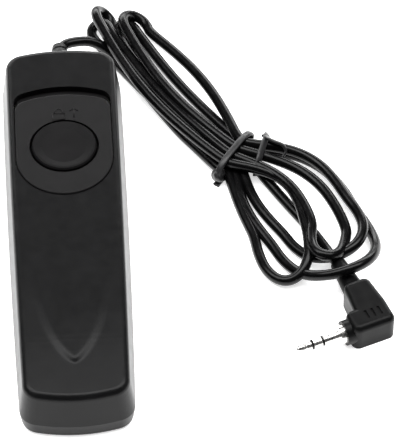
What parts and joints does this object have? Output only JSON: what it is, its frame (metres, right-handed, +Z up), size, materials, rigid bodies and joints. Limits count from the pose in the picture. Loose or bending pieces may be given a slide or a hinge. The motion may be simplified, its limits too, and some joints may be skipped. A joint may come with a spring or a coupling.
{
  "type": "wired camera remote release",
  "caption": "Hand-held wired remote shutter release with a sliding lock panel, a two-stage push button, a tied hank of thin cord and an angled jack plug.",
  "frame": {"origin": "centre of the handset's footprint, on the surface that it lies on", "axes": "+Y along the handset towards its cord end, +Z up out of the button face, +X towards the side where the cord lies"},
  "size_m": [0.0934, 0.138, 0.0172],
  "materials": {
    "case_plastic": "satin moulded ABS",
    "slider_plastic": "satin moulded ABS",
    "button_plastic": "satin moulded ABS",
    "inner_plastic": "moulded nylon",
    "screw_steel": "zinc plated",
    "spring_steel": "bright spring steel",
    "contact_brass": "stamped leaf",
    "solder": "bright solder",
    "wire_red": "thin insulation",
    "wire_white": "thin insulation",
    "wire_yellow": "thin insulation",
    "cord_pvc": "soft gloss PVC",
    "relief_rubber": "soft moulded sleeve",
    "tie_plastic": "plastic-covered wire",
    "plug_plastic": "satin moulded PVC",
    "plug_metal": "nickel plate",
    "plug_insulator": "moulded ring"
  },
  "bodies": {
    "case": {"top_shell": "case_plastic", "bottom_shell": "case_plastic", "case_screws": "screw_steel", "slide_frame": "inner_plastic", "frame_screws": "screw_steel", "lock_catch": "spring_steel", "catch_screws": "screw_steel", "contact_block": "inner_plastic", "shutter_leaf": "contact_brass", "focus_leaf": "contact_brass", "common_leaf": "contact_brass", "leaf_spacers": "inner_plastic", "leaf_clamp": "inner_plastic", "leaf_screws": "screw_steel", "wire_shutter": "wire_red", "wire_focus": "wire_yellow", "wire_common": "wire_white", "solder_joints": "solder", "cord_clamp": "inner_plastic", "clamp_screws": "screw_steel", "strain_relief": "relief_rubber", "cord_tail": "cord_pvc", "cord_exit_run": "cord_pvc", "cord_hank": "cord_pvc", "twist_tie": "tie_plastic", "plug_housing": "plug_plastic", "plug_collar": "plug_metal", "plug_sleeve": "plug_metal", "plug_ring": "plug_metal", "plug_insulators": "plug_insulator", "plug_tip": "plug_metal"},
    "slider": {"lock_slider": "slider_plastic", "button_guide": "inner_plastic", "guide_screws": "screw_steel", "button_spring": "spring_steel"},
    "button": {"release_button": "button_plastic"}
  },
  "joints": [
    {"name": "slider_slide", "type": "slide", "parent": "case", "child": "slider", "axis": [0, 1, 0], "range_m": [0, 0.0026]},
    {"name": "button_press", "type": "slide", "parent": "slider", "child": "button", "axis": [0, 0, -1], "range_m": [0, 0.0018], "stiffness_N_per_m": 350, "springref_m": -0.001, "deforming": ["button_spring", "common_leaf", "focus_leaf"]}
  ]
}
